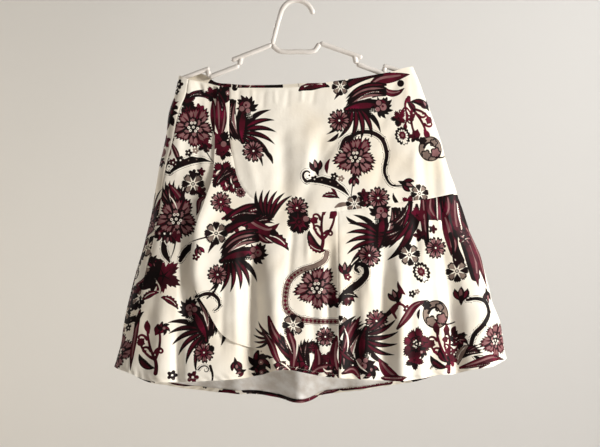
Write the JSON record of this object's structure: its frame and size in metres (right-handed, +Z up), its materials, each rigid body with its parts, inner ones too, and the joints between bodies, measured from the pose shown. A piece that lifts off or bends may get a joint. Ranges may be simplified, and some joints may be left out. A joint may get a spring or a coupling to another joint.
{
  "type": "a-line skirt on a hanger",
  "caption": "Printed a-line skirt with a curved front yoke and a lapped, rounded front flounce, hanging flat on a white tubular plastic hanger.",
  "frame": {"origin": "the point inside the hanger's hook that bears on a nail or rail", "axes": "+Z up, +Y from the front of the skirt to its back, +X to the right of someone who faces the front"},
  "size_m": [0.6847, 0.1041, 0.7088],
  "materials": {
    "print_cloth": "cream cotton sateen printed with burgundy, mauve and black flowers",
    "facing_cloth": "the same printed sateen, as a waist facing",
    "zip_metal": "nickel",
    "hanger_plastic": "glossy white"
  },
  "bodies": {
    "skirt": {"yoke_front": "print_cloth", "front_left": "print_cloth", "flounce_centre": "print_cloth", "flounce_right": "print_cloth", "back_left": "print_cloth", "back_right": "print_cloth", "facing_left": "facing_cloth", "facing_right": "facing_cloth", "zip_slider": "zip_metal", "hanger": "hanger_plastic"},
    "pull_tab": {"zip_pull": "zip_metal"}
  },
  "joints": [
    {"name": "pull_tab_swing", "type": "hinge", "parent": "skirt", "child": "pull_tab", "pos_m": [0.00013, 0.01192, -0.1492], "axis": [1, 0, 0], "range_deg": [0, 170]}
  ]
}
